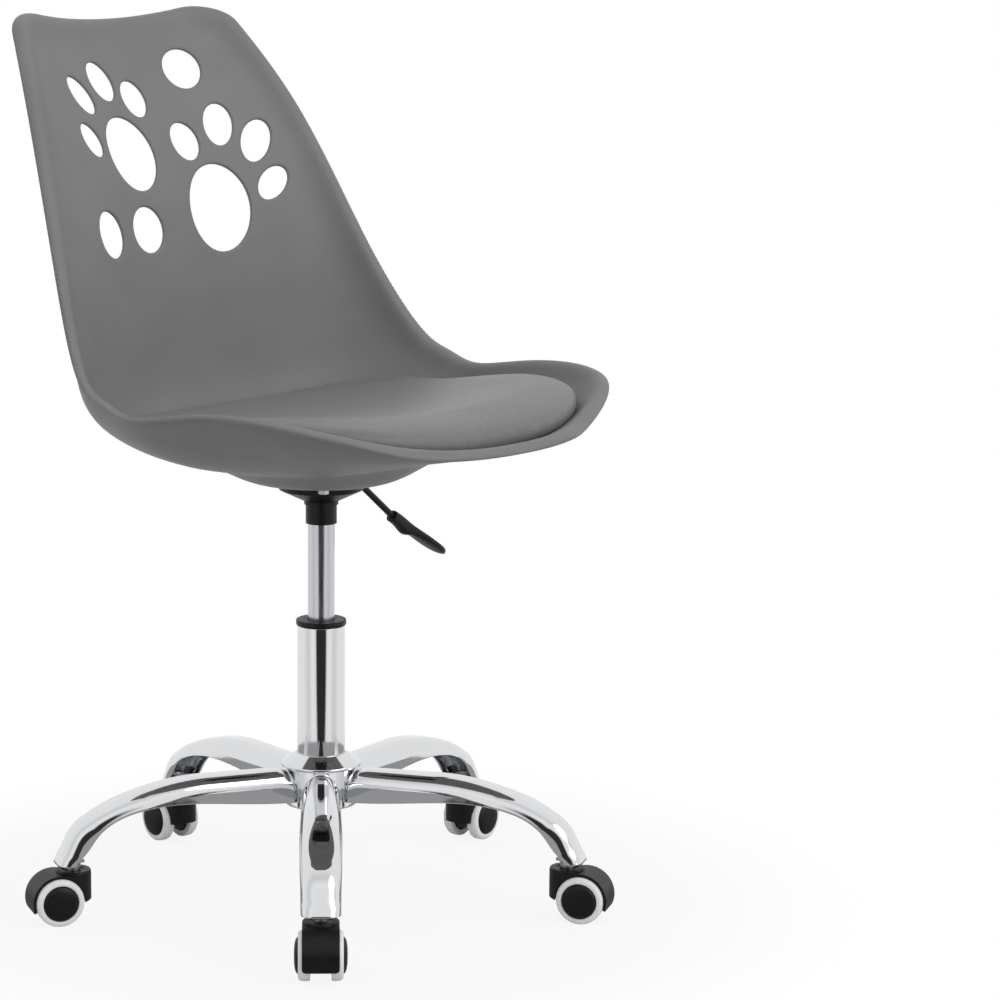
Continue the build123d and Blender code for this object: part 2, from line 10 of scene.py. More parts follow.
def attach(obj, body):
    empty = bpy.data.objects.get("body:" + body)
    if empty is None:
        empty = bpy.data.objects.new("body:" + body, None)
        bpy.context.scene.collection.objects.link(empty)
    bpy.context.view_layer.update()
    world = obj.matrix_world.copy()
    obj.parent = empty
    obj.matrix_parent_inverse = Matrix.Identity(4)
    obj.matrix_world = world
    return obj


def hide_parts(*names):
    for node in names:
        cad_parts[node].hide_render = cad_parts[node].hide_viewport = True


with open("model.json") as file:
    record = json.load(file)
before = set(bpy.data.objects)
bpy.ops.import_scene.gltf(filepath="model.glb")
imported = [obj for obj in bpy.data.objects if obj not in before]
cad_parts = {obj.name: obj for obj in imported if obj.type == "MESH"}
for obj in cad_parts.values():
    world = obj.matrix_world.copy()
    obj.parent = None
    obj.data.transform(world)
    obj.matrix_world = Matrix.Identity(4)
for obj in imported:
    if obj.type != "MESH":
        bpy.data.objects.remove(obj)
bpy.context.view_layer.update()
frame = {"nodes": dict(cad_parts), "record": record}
nodes = frame["nodes"]
mm = 0.001  # sizes are in millimetres, the studio's in metres
tiny = 1e-9  # keeps a divisor from being zero
print("frame loaded:", len(nodes), "nodes")


def linearColor(hexText):
    # sRGB hex to linear light
    channels = [int(hexText[i : i + 2], 16) / 255 for i in (1, 3, 5)]
    return [c / 12.92 if c <= 0.04045 else ((c + 0.055) / 1.055) ** 2.4 for c in channels] + [1]


def addNode(tree, kind, inputs=None, **settings):
    # one node, its settings, and its inputs as plain values or as other nodes' sockets
    node = tree.nodes.new("ShaderNode" + kind)
    for name, value in settings.items():
        setattr(node, name, value)
    for name, value in (inputs or {}).items():
        if isinstance(value, bpy.types.NodeSocket):
            tree.links.new(value, node.inputs[name])
        else:
            node.inputs[name].default_value = value
    return node


def emptyTree(owner):
    # a material's or a world's nodes, cleared
    owner.use_nodes = True
    owner.node_tree.nodes.clear()
    return owner.node_tree


noise = ("TexNoise", {})
pebbles = ("TexVoronoi", {"feature": "SMOOTH_F1"})  # rounded cells
noiseRange = {"From Min": 0.3, "From Max": 0.7}  # where nearly all its values lie


def makeFinish(name, fixed, patterns, roughness, shades=None, relief=None, stretch=(1, 1, 1)):
    # a Principled shader with fixed values. Patterns (texture, size of its features in mm, detail)
    # give a range of roughness, two close shades and a fine relief (height in mm, strength)
    material = bpy.data.materials.new(name)
    tree = emptyTree(material)
    coords = addNode(tree, "TexCoord").outputs["Object"]
    place = addNode(tree, "Mapping", {"Vector": coords, "Scale": stretch}).outputs[0]
    drawn = {}
    for pattern, ((kind, settings), sizeMm, detail) in patterns.items():
        inputs = {"Vector": place, "Scale": 1 / (sizeMm * mm), "Detail": detail}
        drawn[pattern] = addNode(tree, kind, inputs, **settings).outputs[0]
    pattern, low, high = roughness
    inputs = {"Value": drawn[pattern], **noiseRange, "To Min": low, "To Max": high}
    sockets = {**fixed, "Roughness": addNode(tree, "MapRange", inputs).outputs["Result"]}
    if shades:
        pattern, dark, light = shades
        share = addNode(tree, "MapRange", {"Value": drawn[pattern], **noiseRange}).outputs["Result"]
        inputs = {"Factor": share, "A": linearColor(dark), "B": linearColor(light)}
        sockets["Base Color"] = addNode(tree, "Mix", inputs, data_type="RGBA").outputs["Result"]
    if relief:
        pattern, heightMm, strength = relief
        inputs = {"Height": drawn[pattern], "Distance": heightMm * mm, "Strength": strength}
        sockets["Normal"] = addNode(tree, "Bump", inputs).outputs["Normal"]
    shader = addNode(tree, "BsdfPrincipled", sockets)
    addNode(tree, "OutputMaterial", {"Surface": shader.outputs["BSDF"]})
    return material


print("helpers ready")

slotFinish = {
    # Polypropylene, injection moulded in a spark-eroded tool: a soft matte grey with a fine even
    # grain, drawn at about twice its real 0.5 mm, so that it shows.
    "grey_shell": makeFinish(
        "matteGreyPolypropylene", {"IOR": 1.49}, {"erosion": (noise, 1.1, 3), "tone": (noise, 60, 3)},
        roughness=("erosion", 0.46, 0.58), shades=("tone", "#7b7979", "#807e7e"),
        relief=("erosion", 0.05, 0.35),
    ),
    # Polyurethane leatherette, embossed: small rounded pebbles with a low sheen, drawn at about 1.5
    # times their real size, so that they show.
    "grey_leatherette": makeFinish(
        "greyLeatherette", {"IOR": 1.5, "Sheen Weight": 0.12, "Sheen Roughness": 0.5},
        {"rub": (noise, 3, 2), "tone": (noise, 8, 2), "emboss": (pebbles, 1.8, 0)},
        roughness=("rub", 0.42, 0.52), shades=("tone", "#757373", "#7b7979"),
        relief=("emboss", -0.07, 0.45),
    ),
    # Bright nickel and chrome plate on pressed steel: a mirror with faint waviness from the press.
    "chromed_steel": makeFinish(
        "brightChromePlate", {"Base Color": linearColor("#dfe0e2"), "Metallic": 1.0},
        {"haze": (noise, 12, 3), "wave": (noise, 35, 1)},
        roughness=("haze", 0.03, 0.075), relief=("wave", 0.25, 0.12),
    ),
    # Satin chrome on a ground tube: fine lines along the tube soften the mirror.
    "satin_cylinder": makeFinish(
        "satinChromeTube", {"Base Color": linearColor("#c9cace"), "Metallic": 1.0},
        {"lines": (noise, 0.9, 2)}, stretch=(1, 1, 0.02),
        roughness=("lines", 0.15, 0.3), relief=("lines", 0.01, 0.2),
    ),
    # Bright zinc plate on steel: pale, slightly cloudy metal.
    "zinc_steel": makeFinish(
        "brightZincPlate", {"Metallic": 1.0}, {"cloud": (noise, 4, 4)},
        roughness=("cloud", 0.24, 0.4), shades=("cloud", "#b4b6b8", "#c8cacc"),
    ),
    # Black polyamide, moulded: nearly black with a soft gloss and a light grain.
    "black_plastic": makeFinish(
        "blackPolyamide", {"IOR": 1.53, "Specular IOR Level": 0.25},
        {"grain": (noise, 0.9, 3), "tone": (noise, 15, 2)},
        roughness=("grain", 0.34, 0.5), shades=("tone", "#0d0d0d", "#121212"),
        relief=("grain", 0.03, 0.3),
    ),
    # Black polyester powder coat on steel: a satin film with a slight orange peel.
    "black_steel": makeFinish(
        "blackPowderCoat", {"IOR": 1.5, "Specular IOR Level": 0.25}, {"peel": (noise, 2.2, 2)},
        roughness=("peel", 0.32, 0.46), shades=("peel", "#0e0e0e", "#141414"),
        relief=("peel", 0.06, 0.3),
    ),
    # Off-white polyurethane tread, moulded: smooth, with a little floor dust in patches.
    "pale_tyre": makeFinish(
        "offWhitePolyurethane", {"IOR": 1.5}, {"dust": (noise, 7, 4), "grain": (noise, 1.4, 2)},
        roughness=("dust", 0.36, 0.5), shades=("dust", "#f3f2f0", "#faf9f8"),
        relief=("grain", 0.03, 0.25),
    ),
    # Nitrile rubber, moulded: dull black.
    "black_rubber": makeFinish(
        "blackNitrileRubber", {"IOR": 1.52}, {"bloom": (noise, 3, 3)},
        roughness=("bloom", 0.62, 0.8), shades=("bloom", "#171717", "#202020"),
    ),
    # Formed birch plywood: pale wood with long grain along the seat.
    "board": makeFinish(
        "birchPlywood", {"IOR": 1.5}, {"figure": (noise, 3, 4)}, stretch=(1, 0.06, 1),
        roughness=("figure", 0.5, 0.65), shades=("figure", "#b08d60", "#cfae80"),
        relief=("figure", 0.05, 0.3),
    ),
}
nodeSlot = {part["node"]: part["material_slot"] for part in frame["record"]["subparts"]}


def setFinish(piece, node):
    # the finish of a CAD node's material slot
    piece.data.materials.clear()
    piece.data.materials.append(slotFinish[nodeSlot[node]])


for name, node in nodes.items():
    setFinish(node, name)
print("materials:", len(slotFinish))


def gridFaces(rows, columns, closeRows=False, closeColumns=False):
    # corner numbers of the quads of a rows x columns grid of points
    r = np.arange(rows if closeRows else rows - 1)[:, None]
    c = np.arange(columns if closeColumns else columns - 1)[None, :]
    nextR, nextC = (r + 1) % rows, (c + 1) % columns
    quads = [r * columns + c, r * columns + nextC, nextR * columns + nextC, nextR * columns + c]
    return np.stack(np.broadcast_arrays(*quads), -1).reshape(-1, 4)


def fanPatch(ring):
    # triangles from a ring of points to its middle
    count = len(ring)
    corner = np.arange(count)
    points = np.vstack([ring, ring.mean(0)])
    return points, np.stack([corner, np.roll(corner, -1), np.full(count, count)], -1)


def addObject(name, data):
    # new object in the scene
    thing = bpy.data.objects.new(name, data)
    bpy.context.scene.collection.objects.link(thing)
    return thing


def meshPiece(name, patches, weldMm=0.01, sliverShare=0.1):
    # one object from (points, faces) patches in millimetres, welded, with its faces outwards
    points, faces, start = [], [], 0
    for patchPoints, patchFaces in patches:
        flat = np.asarray(patchPoints, float).reshape(-1, 3)
        points.append(flat)
        faces.extend((patchFaces + start).tolist())
        start += len(flat)
    mesh = bpy.data.meshes.new(name)
    mesh.from_pydata(np.vstack(points) * mm, [], faces)
    weld = weldMm * mm
    cleaner = bmesh.new()
    cleaner.from_mesh(mesh)
    bmesh.ops.remove_doubles(cleaner, verts=cleaner.verts, dist=weld)
    bmesh.ops.dissolve_degenerate(cleaner, edges=cleaner.edges, dist=weld * sliverShare)
    bmesh.ops.recalc_face_normals(cleaner, faces=cleaner.faces)
    cleaner.to_mesh(mesh)
    cleaner.free()
    mesh.shade_smooth()
    return addObject(name, mesh)


def fitPiece(piece, body, *replaced):
    # CAD body, the CAD nodes that a piece stands for, and their finish
    setFinish(piece, replaced[0])
    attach(piece, body)
    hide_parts(*replaced)


def softCorners(corners, radius, steps=5, most=0.45):
    # closed outline: each corner becomes a short curve, (1-k)^2 a + 2k(1-k) c + k^2 b, which takes at
    # most a share of either side, apart from a corner on the axis, r = 0
    c = np.asarray(corners, float)
    back, ahead = np.roll(c, 1, 0) - c, np.roll(c, -1, 0) - c
    backLength = np.linalg.norm(back, axis=1, keepdims=True)
    aheadLength = np.linalg.norm(ahead, axis=1, keepdims=True)
    radius = np.where(c[:, :1] > 0, radius, 0)
    a = c + back / backLength * np.minimum(radius, most * backLength)
    b = c + ahead / aheadLength * np.minimum(radius, most * aheadLength)
    k = np.linspace(0, 1, steps)[None, :, None]
    curve = (1 - k) ** 2 * a[:, None] + 2 * k * (1 - k) * c[:, None] + k**2 * b[:, None]
    return curve.reshape(-1, 2)


def fullTurn(count):
    # angles of a closed ring of points
    return np.linspace(0, 2 * np.pi, count, endpoint=False)[None, :]


def squarishOval(turn, squareness):
    # x and y of |x|^n + |y|^n = 1
    return [np.sign(w) * np.abs(w) ** (2 / squareness) for w in (np.cos(turn), np.sin(turn))]


def turned(outline, turns=128):
    # surface of revolution: (r cos a, r sin a, z) for a closed outline of (r, z)
    a = fullTurn(turns)
    r, z = outline[:, :1], outline[:, 1:]
    points = np.stack(np.broadcast_arrays(r * np.cos(a), r * np.sin(a), z), -1)
    return points, gridFaces(len(outline), turns, True, True)


def naturalCurve(knots, places):
    # natural cubic through evenly spaced knots: the second differences solve a 1-4-1 system
    values = np.asarray(knots, float)
    count = len(values)
    matrix = np.eye(count)
    inner = np.arange(1, count - 1)
    matrix[inner, inner - 1], matrix[inner, inner], matrix[inner, inner + 1] = 1, 4, 1
    right = np.zeros(count)
    right[1:-1] = 6 * (values[:-2] - 2 * values[1:-1] + values[2:])
    bend = np.linalg.solve(matrix, right)
    low = np.clip(np.floor(places).astype(int), 0, count - 2)
    b = places - low
    a = 1 - b
    straight = a * values[low] + b * values[low + 1]
    return straight + ((a**3 - a) * bend[low] + (b**3 - b) * bend[low + 1]) / 6


shell = {
    "wall": 4.5,
    "wallAngles": (0, 30, 60, 90),  # places of points on the wall's round edge
    "lipRise": 8.0,  # how far the edge flares, and over what width
    "lipReach": 9.0,
    "lipRows": (2.0, 3.5, 5.0, 7.0, 9.5, 12.5, 16.0, 20.0, 25.0, 31.0),  # rows of points
    "lipRoom": 4.0,  # from the last row to the grid
    "topCorner": 46.0,
    "frontCorner": (34.0, 34.0),  # its curve's reach along the front and up the side
    "calmFront": 40.0,  # normals near the pinched front corners come from further back
    "frontPoints": 40,
    "frontCornerPoints": 80,
    "topCornerPoints": 17,
    "topPoints": 24,
    "rimStep": 4.5,
    "gridStep": 6.0,
    "gridColumns": 121,
    "frontZone": (130.0, 0.25),  # length with finer steps, and their share of a whole step
    # side view from the front edge to the top: middle line (y, z), rim (y, z, half width)
    "middle": [
        (-271, 504), (-185, 490), (-87, 470), (20, 465), (123, 474.5),
        (181, 512), (197.5, 612), (227.5, 750), (325, 904),
    ],
    "rim": [
        (-249, 509, 130), (-186, 543, 239), (-82, 548.5, 262), (7, 536, 266), (51, 546, 265),
        (93.5, 571.5, 259), (153.5, 669.5, 231.5), (224, 809.5, 197), (303, 924, 153.5),
    ],
    "bowlStations": (0, 3, 6, 8),
    "bowlPowers": (2.3, 3.6, 2.5, 2.1),
    "backStart": 5,  # station where the back begins, and one past the seat's rear
    "seatEnd": 5.4,
    # cut-outs: x, z, long half axis, short half axis, turn of the long axis
    "ovals": [
        (77, 849, 25, 23, 37), (-45, 843, 23.7, 16.3, 94), (-85, 829, 23, 14, 112),
        (-7, 824.5, 22, 16, 86), (-96, 785, 19.5, 12.3, 111), (-42, 771, 41.6, 32.6, 94),
        (94, 791, 25, 18.4, 64.5), (41, 778.5, 21.8, 18.5, 93), (135, 770, 25.9, 17.2, 50),
        (142.5, 727, 22.8, 14.5, 33), (64.5, 709, 47.2, 42.4, 82), (-46, 693.5, 24.3, 21.9, 101),
        (-104, 692, 24.8, 17.3, 101),
    ],
    "ovalPoints": 80,
    "ovalRing": 5.0,  # ring of points round an oval, and the grid's start
    "ovalRoom": 8.0,
    # boss under the seat: z = floor + rise ((r - flat) / (foot - flat))^power, melted into the bowl
    "bossFloor": 447.0,
    "bossRise": 25.0,
    "bossFlat": 56.0,
    "bossFoot": 112.0,
    "bossPower": 2.2,
    "bossMelt": 20.0,
    "bossEdge": 152.0,  # radius of the area with rings of points
    "bossRings": (6.0, 147.0, 36),  # first and last radius, and how many
    "bossTurns": 120,
    "boltSpacing": 90.0,
    "boltRoom": 11.0,  # left out of those rings round a bolt
    "boltTurns": 40,
    "spotFace": (8.4, 449.4),  # radius and height of a bolt's seat
    "spotRings": (-4.0, -0.25, 0.25),  # rings of points, from that radius
}
lastStation = len(shell["middle"]) - 1
fineStations = np.linspace(0, lastStation, 1601)
middleY, middleZ = (naturalCurve(k, fineStations) for k in zip(*shell["middle"]))
middleLength = np.append(0, np.cumsum(np.hypot(np.diff(middleY), np.diff(middleZ))))
shellLength = middleLength[-1]
lipSlope = shell["lipRise"] / shell["lipReach"]
lipStretch = math.hypot(1, lipSlope * math.e)  # of the flare, at the very edge


def stationAt(length):
    # station at a length along the middle line
    return np.interp(length, middleLength, fineStations)


def lengthAt(station):
    # length along the middle line at a station
    return np.interp(station, fineStations, middleLength)


def halfWidth(station):
    # natural cubic through the rim's half widths
    return naturalCurve(list(zip(*shell["rim"]))[2], station)


def outerSurface(station, across):
    # the middle line lifts to the rim as a power of the share across
    midY, midZ = (naturalCurve(k, station) for k in zip(*shell["middle"]))
    rimY, rimZ, half = (naturalCurve(k, station) for k in zip(*shell["rim"]))
    lift = np.abs(across) ** np.interp(station, shell["bowlStations"], shell["bowlPowers"])
    return np.stack([half * across, midY + (rimY - midY) * lift, midZ + (rimZ - midZ) * lift], -1)


def acrossAt(x, station):
    # share of the half width, -1 to 1
    return np.clip(x / halfWidth(station), -1, 1)


def sitterNormal(station, across, step=1e-3):
    # unit normal on the sitter's side, from differences along and across
    ahead, behind = np.clip(station + step, 0, lastStation), np.clip(station - step, 0, lastStation)
    right, left = np.clip(across + step, -1, 1), np.clip(across - step, -1, 1)
    along = outerSurface(ahead, across) - outerSurface(behind, across)
    over = outerSurface(station, right) - outerSurface(station, left)
    normal = np.cross(over, along)
    return normal / np.linalg.norm(normal, axis=-1, keepdims=True)


def bisect(function, low, high, shape, rounds=40):
    # where a rising function of the station crosses zero, for a whole array at once
    low, high = np.full(shape, float(low)), np.full(shape, float(high))
    for _ in range(rounds):
        middle = (low + high) / 2
        below = function(middle) < 0
        low, high = np.where(below, middle, low), np.where(below, high, middle)
    return (low + high) / 2


def ovalFrame(oval, grow):
    # middle on the back's middle line, lean of its plane, turn in that plane, and grown half axes
    x, z, longHalf, shortHalf, angle = oval
    upper = fineStations > shell["backStart"]
    y = np.interp(z, middleZ[upper], middleY[upper])
    slope = np.gradient(middleY[upper]) / np.gradient(middleZ[upper])
    lean = np.arctan(np.interp(z, middleZ[upper], slope))
    return np.array([x, y, z]), lean, np.radians(angle), longHalf + grow, shortHalf + grow


def ovalLoop(oval, grow):
    # ellipse in its plane, carried along the plane's normal on to the shell: (p, q) of the sheet
    centre, lean, turn, longHalf, shortHalf = ovalFrame(oval, grow)
    around = fullTurn(shell["ovalPoints"])[0]
    longSide, shortSide = longHalf * np.cos(around), shortHalf * np.sin(around)
    p = centre[0] + longSide * np.cos(turn) - shortSide * np.sin(turn)
    up = longSide * np.sin(turn) + shortSide * np.cos(turn)

    def above(station):
        point = outerSurface(station, p / halfWidth(station)) - centre
        return point[..., 1] * np.sin(lean) + point[..., 2] * np.cos(lean) - up

    station = bisect(above, shell["backStart"], lastStation, p.shape)
    return np.stack([p, lengthAt(station)], -1)


def ovalShare(oval, points, grow):
    # below 1 inside the grown ellipse, seen along its plane's normal
    centre, lean, turn, longHalf, shortHalf = ovalFrame(oval, grow)
    x, y, z = np.moveaxis(points - centre, -1, 0)
    up = y * np.sin(lean) + z * np.cos(lean)
    longSide = x * np.cos(turn) + up * np.sin(turn)
    shortSide = up * np.cos(turn) - x * np.sin(turn)
    return np.hypot(longSide / longHalf, shortSide / shortHalf)


def clearOfOvals(station, surface, grow):
    # true on the seat, and on the back outside every grown oval
    clear = np.ones(station.shape, bool)
    for oval in shell["ovals"]:
        clear &= (ovalShare(oval, surface, grow) > 1) | (station < shell["backStart"])
    return clear


def steppedLengths(start, end, step):
    # even steps along the sheet, finer in the zone behind its front edge
    zone, share = shell["frontZone"]
    return np.hstack([np.arange(start, zone, step * share), np.arange(zone, end, step)])


def rightEdge(inset):
    # right half of the sheet's edge, drawn in by an inset: front, round corner, side, round corner, top
    radius, (cornerP, cornerQ) = shell["topCorner"], shell["frontCorner"]
    corner = np.array([halfWidth(np.zeros(1))[0] - inset, inset])
    sideStart = np.array([halfWidth(stationAt(np.array([cornerQ])))[0] - inset, cornerQ])
    k = np.linspace(0, 1, shell["frontCornerPoints"])[:, None]
    front = (1 - k) ** 2 * (corner - [cornerP, 0]) + 2 * k * (1 - k) * corner + k**2 * sideStart
    sideQ = steppedLengths(cornerQ, shellLength - radius, shell["rimStep"])[1:]
    bendAngle = np.linspace(0, np.pi / 2, shell["topCornerPoints"])
    bendQ = shellLength - radius + (radius - inset) * np.sin(bendAngle)
    bendP = halfWidth(stationAt(bendQ)) - radius + (radius - inset) * np.cos(bendAngle)
    frontP = np.linspace(0, front[0, 0], shell["frontPoints"])[:-1]
    topP = np.linspace(bendP[-1], 0, shell["topPoints"])[1:]
    p = np.hstack([frontP, front[:, 0], halfWidth(stationAt(sideQ)) - inset, bendP, topP])
    frontQ, topQ = np.full(len(frontP), inset), np.full(len(topP), shellLength - inset)
    q = np.hstack([frontQ, front[:, 1], sideQ, bendQ, topQ])
    return p, q


def rimLoop(inset):
    # the right half and its mirror image, as one loop
    p, q = rightEdge(inset)
    return np.stack([np.append(p, -p[-2:0:-1]), np.append(q, q[-2:0:-1])], -1)


def insideEdge(pq, inset):
    # true where the sheet lies inside its drawn-in edge
    p, q = rightEdge(inset)
    return np.abs(pq[..., 0]) < np.interp(pq[..., 1], q, p)


def sheetSurface(pq):
    # places of the sheet on the outer surface, and calm normals there
    station, calmStation = stationAt(pq[:, 1]), stationAt(np.hypot(pq[:, 1], shell["calmFront"]))
    surface = outerSurface(station, acrossAt(pq[:, 0], station))
    return surface, sitterNormal(calmStation, acrossAt(pq[:, 0], calmStation))


def rimDistance(points, batch=4000):
    # distance in space from the stretches beside the edge's nearest point, and the way from there
    rim, _ = sheetSurface(rimLoop(0.0))
    nearest = np.hstack([
        np.argmin(np.sum((part[:, None] - rim[None]) ** 2, -1), 1)
        for part in np.array_split(points, len(points) // batch + 1)
    ])
    distance, inland = np.full(len(points), np.inf), np.zeros_like(points)
    for neighbour in (-1, 1):
        start, end = rim[nearest], rim[(nearest + neighbour) % len(rim)]
        way = end - start
        share = np.sum((points - start) * way, 1) / np.maximum(np.sum(way**2, 1), tiny)
        away = points - start - way * np.clip(share, 0, 1)[:, None]
        length = np.linalg.norm(away, axis=1)
        closer = length < distance
        distance[closer] = length[closer]
        inland[closer] = away[closer] / np.maximum(length[closer], tiny)[:, None]
    return distance, inland


def boltReach(x, y):
    # distance in plan from the nearest of the four bolts
    half = shell["boltSpacing"] / 2
    return np.hypot(np.abs(x) - half, np.abs(y) - half)


def withBoss(points):
    # lower of the bowl and the boss, with a smooth change: mix(a, b, h) - k h (1 - h)
    x, y, bowl = np.moveaxis(points, -1, 0)
    radius = np.hypot(x, y)
    out = np.clip(radius - shell["bossFlat"], 0, None) / (shell["bossFoot"] - shell["bossFlat"])
    boss = shell["bossFloor"] + shell["bossRise"] * out ** shell["bossPower"]
    melt = shell["bossMelt"]
    h = np.clip(0.5 + 0.5 * (boss - bowl) / melt, 0, 1)
    z = np.where(radius < shell["bossEdge"], boss * (1 - h) + bowl * h - melt * h * (1 - h), bowl)
    faceRadius, faceZ = shell["spotFace"]
    return np.where(boltReach(x, y) < faceRadius, np.maximum(z, faceZ), z)


def sheetPoints(pq, edgeRoom):
    # both faces of the wall: the outer surface, raised by half the wall and by the flare of the
    # lip, lip = rise (d/reach) exp(1 - d/reach), then half the wall each way across the flare's
    # own slope, rounded at an edge
    surface, normal = sheetSurface(pq)
    fromRim, inland = rimDistance(surface)
    share = fromRim / shell["lipReach"]
    lip = shell["lipRise"] * share * np.exp(1 - share)
    slope = lipSlope * (1 - share) * np.exp(1 - share)
    inland -= normal * np.sum(inland * normal, 1)[:, None]
    across = normal - inland * slope[:, None]
    across /= np.linalg.norm(across, axis=1, keepdims=True)
    radius = shell["wall"] / 2
    middle = surface + normal * (radius + lip)[:, None]
    inward = np.minimum(np.minimum(edgeRoom, fromRim * lipStretch), radius) / radius
    depth = radius * np.sqrt(np.clip(1 - (1 - inward) ** 2, 0, 1))
    under, over = middle - across * depth[:, None], middle + across * depth[:, None]
    under[:, 2] = withBoss(under)
    return under, over


def planToSheet(x, y):
    # (p, q) of the sheet below a place in plan
    def behind(station):
        return outerSurface(station, acrossAt(x, station))[..., 1] - y

    return np.stack([x, lengthAt(bisect(behind, 0, shell["seatEnd"], x.shape))], -1)


def bossPoints():
    # rings about the column's axis, and a few close rings at each bolt's seat
    turn = fullTurn(shell["bossTurns"])
    radius = np.linspace(*shell["bossRings"])[:, None]
    x, y = (radius * np.cos(turn)).ravel(), (radius * np.sin(turn)).ravel()
    free = boltReach(x, y) > shell["boltRoom"]
    x, y = x[free], y[free]
    turn = fullTurn(shell["boltTurns"])
    ring = shell["spotFace"][0] + np.array(shell["spotRings"])[:, None]
    half = shell["boltSpacing"] / 2
    for boltX, boltY in ((-half, -half), (-half, half), (half, -half), (half, half)):
        x, y = np.append(x, boltX + ring * np.cos(turn)), np.append(y, boltY + ring * np.sin(turn))
    return planToSheet(x, y)


def gridPoints():
    # even points over the sheet, away from its edge, the boss and the ovals
    bandEdge = shell["lipRows"][-1] + shell["lipRoom"]
    q = steppedLengths(bandEdge, shellLength - bandEdge, shell["gridStep"])
    q, share = np.meshgrid(q, np.linspace(-1, 1, shell["gridColumns"]), indexing="ij")
    station = stationAt(q)
    half = halfWidth(station)
    p = share * (half - bandEdge)
    grid = np.stack([p, q], -1)
    surface = outerSurface(station, p / half)
    keep = insideEdge(grid, bandEdge - 1)
    keep &= np.hypot(surface[..., 0], surface[..., 1]) > shell["bossEdge"]
    keep &= clearOfOvals(station, surface, shell["ovalRoom"])
    return grid[keep]


def makeShell():
    # the flat sheet, p across and q along, is cut into triangles between its edge and the ovals,
    # which are then lifted to both faces of the wall
    insets = shell["wall"] / 2 * (1 - np.cos(np.radians(shell["wallAngles"])))
    rimLoops = [(rimLoop(d), d) for d in np.append(insets / lipStretch, shell["lipRows"])]
    ovalInsets = np.append(insets, shell["ovalRing"])
    ovalLoops = [(ovalLoop(oval, d), d) for oval in shell["ovals"] for d in ovalInsets]
    loops = rimLoops + ovalLoops
    flat = np.vstack([loop for loop, _ in loops] + [gridPoints(), bossPoints()])
    farInside = shell["wall"]  # further than the rounding of an edge reaches
    room = np.full(len(flat), farInside)
    edges, start = [], 0
    for number, (loop, inset) in enumerate(loops):
        ring = start + np.arange(len(loop))
        if inset == 0:
            edges += np.stack([ring, np.roll(ring, -1)], -1).tolist()
        if number >= len(rimLoops):
            room[ring] = inset
        start += len(loop)
    made = geometry.delaunay_2d_cdt([Vector(v) for v in flat], edges, [], 0, 1e-5)
    corners, _, triangles, sources, _, _ = made
    pq, triangles = np.array([tuple(v) for v in corners]), np.array(triangles)
    room = np.array([room[source].min() if len(source) else farInside for source in sources])
    centre = pq[triangles].mean(1)
    station = stationAt(centre[:, 1])
    surface = outerSurface(station, acrossAt(centre[:, 0], station))
    triangles = triangles[insideEdge(centre, 0.0) & clearOfOvals(station, surface, 0)]
    under, over = sheetPoints(pq, room)
    return meshPiece("seatShell", [(under, triangles[:, ::-1]), (over, triangles)])


seatShell = makeShell()
fitPiece(seatShell, "seat", "seat_shell")
print("seat shell:", len(seatShell.data.polygons), "faces")

cushion = {
    "centreY": -36.0,
    "halfLength": 208.0,
    "halfWidth": 238.0,
    "squareness": 2.8,
    "bottom": 8.1,  # height of its underside over the shell's outer surface
    "edge": 19.0,
    "crown": 24.0,  # the filling swells it by a few millimetres
    "fullness": 4.0,  # power by which the crown falls off towards the edge
    "edgePowers": (12.0, 30.0),  # the lower, the rounder the edge, above and below
    "tilt": 11.0,  # rise in front, and fall behind
    "wrapDepth": 3.0,  # of the cover round the board's edge, between these shares
    "wrapShares": (0.88, 0.93),
    "rings": 60,
    "turns": 240,
    "weld": 0.05,
    "voxel": 4.2,
    "heldShare": 0.6,  # of the edge, up to which the cover is held
    "pressure": 4.0,
    "stretchStiffness": 30.0,
    "bendStiffness": 2.0,
    "frames": 20,
    "swellCap": 5.0,
    "swellRounds": 60,  # of averaging with the neighbours
    "smoothing": (0.5, 8),  # factor and rounds
}


def seatPoint(x, y, height):
    # point above the shell's outer surface, along its normal, over a place in plan
    station = stationAt(planToSheet(x, y)[..., 1])
    across = acrossAt(x, station)
    return outerSurface(station, across) + sitterNormal(station, across) * height[..., None]


def evened(x, y, z):
    # foam bridges the bowl's dips: z fitted by the terms 1, y, y^2, y^3, x^2, x^2 y and x^4
    u, v = x / cushion["halfWidth"], y / cushion["halfLength"]
    terms = np.stack([np.ones_like(u), v, v**2, v**3, u**2, u**2 * v, u**4], -1)
    share, *_ = np.linalg.lstsq(terms.reshape(-1, terms.shape[-1]), z.reshape(-1), rcond=None)
    return terms @ share


def meshPoints(mesh):
    # places of all points, one row each
    points = np.empty(len(mesh.vertices) * 3)
    mesh.vertices.foreach_get("co", points)
    return points.reshape(-1, 3)


def applyModifiers(piece):
    # the modified shape becomes the piece's own mesh
    shape = piece.evaluated_get(bpy.context.evaluated_depsgraph_get())
    old = piece.data
    piece.data = bpy.data.meshes.new_from_object(shape)
    piece.modifiers.clear()
    bpy.data.meshes.remove(old)


